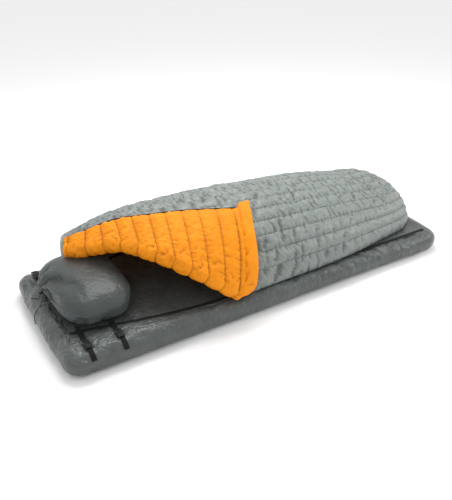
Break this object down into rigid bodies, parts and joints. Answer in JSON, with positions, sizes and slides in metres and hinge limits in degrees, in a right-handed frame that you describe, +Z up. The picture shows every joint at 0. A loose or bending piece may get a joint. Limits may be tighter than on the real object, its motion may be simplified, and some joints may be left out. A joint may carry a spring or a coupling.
{
  "type": "camp quilt",
  "caption": "Down camp quilt with lengthwise channels, one corner folded back over its bright lining, on a fitted sheet over a mattress, with a strapped pillow.",
  "frame": {"origin": "centre of the mattress's underside, where the bed rests on the ground", "axes": "+X towards the foot end, -Y towards the side where the quilt is folded open, +Z up"},
  "size_m": [1.9632, 0.782, 0.4208],
  "materials": {
    "quilt_shell_fabric": "satin ripstop nylon",
    "lining_fabric": "satin nylon",
    "down_fill": "matte",
    "sheet_fabric": "satin nylon",
    "sack_fabric": "satin nylon",
    "mattress_fabric": "matte coated nylon",
    "binding_tape": "matte",
    "webbing": "matte woven",
    "buckle_plastic": "satin"
  },
  "bodies": {
    "bed": {"attachment_strip_far": "binding_tape", "attachment_strip_near": "binding_tape", "cord_lock_barrel": "buckle_plastic", "down_channel_01": "down_fill", "down_channel_02": "down_fill", "down_channel_03": "down_fill", "down_channel_04": "down_fill", "down_channel_05": "down_fill", "down_channel_06": "down_fill", "down_channel_07": "down_fill", "down_channel_08": "down_fill", "down_channel_09": "down_fill", "down_channel_10": "down_fill", "down_channel_11": "down_fill", "down_channel_12": "down_fill", "down_channel_13": "down_fill", "down_channel_14": "down_fill", "down_channel_15": "down_fill", "drawcord_knot_long": "webbing", "drawcord_knot_short": "webbing", "drawcord_tail_long": "webbing", "drawcord_tail_short": "webbing", "far_foot_strap_anchor": "webbing", "far_foot_strap_buckle_female": "buckle_plastic", "far_foot_strap_webbing": "webbing", "far_head_strap_anchor": "webbing", "far_head_strap_buckle_female": "buckle_plastic", "far_head_strap_webbing": "webbing", "fold_roll": "lining_fabric", "foot_end_panel": "quilt_shell_fabric", "head_edge_binding": "quilt_shell_fabric", "mattress_core": "mattress_fabric", "near_foot_strap_anchor": "webbing", "near_foot_strap_buckle_female": "buckle_plastic", "near_foot_strap_webbing": "webbing", "near_head_strap_anchor": "webbing", "near_head_strap_buckle_female": "buckle_plastic", "near_head_strap_webbing": "webbing", "pillow_fill": "down_fill", "pillow_sack": "sack_fabric", "quilt_lining": "lining_fabric", "quilt_shell": "quilt_shell_fabric", "sheet_hem_elastic": "binding_tape", "sheet_side_panel": "sheet_fabric", "sheet_top_panel": "sheet_fabric"},
    "flap": {"flap_shell": "quilt_shell_fabric", "flap_down": "down_fill", "flap_lining": "lining_fabric", "flap_hem": "binding_tape", "draft_collar": "lining_fabric"},
    "near_head_strap_clip": {"near_head_strap_buckle_male": "buckle_plastic"},
    "near_foot_strap_clip": {"near_foot_strap_buckle_male": "buckle_plastic"},
    "far_head_strap_clip": {"far_head_strap_buckle_male": "buckle_plastic"},
    "far_foot_strap_clip": {"far_foot_strap_buckle_male": "buckle_plastic"},
    "lock_plunger": {"cord_lock_plunger": "buckle_plastic"}
  },
  "joints": [
    {"name": "flap_fold", "type": "hinge", "parent": "bed", "child": "flap", "pos_m": [-0.7016, 0.1646, 0.2962], "axis": [0.6799, -0.6973, -0.2271], "range_deg": [0, 100], "deforming": ["fold_roll"]},
    {"name": "near_head_strap_clip_slide", "type": "slide", "parent": "bed", "child": "near_head_strap_clip", "axis": [0, 1, 0], "range_m": [0, 0.018]},
    {"name": "near_foot_strap_clip_slide", "type": "slide", "parent": "bed", "child": "near_foot_strap_clip", "axis": [0, 1, 0], "range_m": [0, 0.018]},
    {"name": "far_head_strap_clip_slide", "type": "slide", "parent": "bed", "child": "far_head_strap_clip", "axis": [0, -1, 0], "range_m": [0, 0.018]},
    {"name": "far_foot_strap_clip_slide", "type": "slide", "parent": "bed", "child": "far_foot_strap_clip", "axis": [0, -1, 0], "range_m": [0, 0.018]},
    {"name": "cord_lock_press", "type": "slide", "parent": "bed", "child": "lock_plunger", "axis": [1, 0, 0], "range_m": [0, 0.003], "stiffness_N_per_m": 250, "springref_m": -0.002}
  ]
}
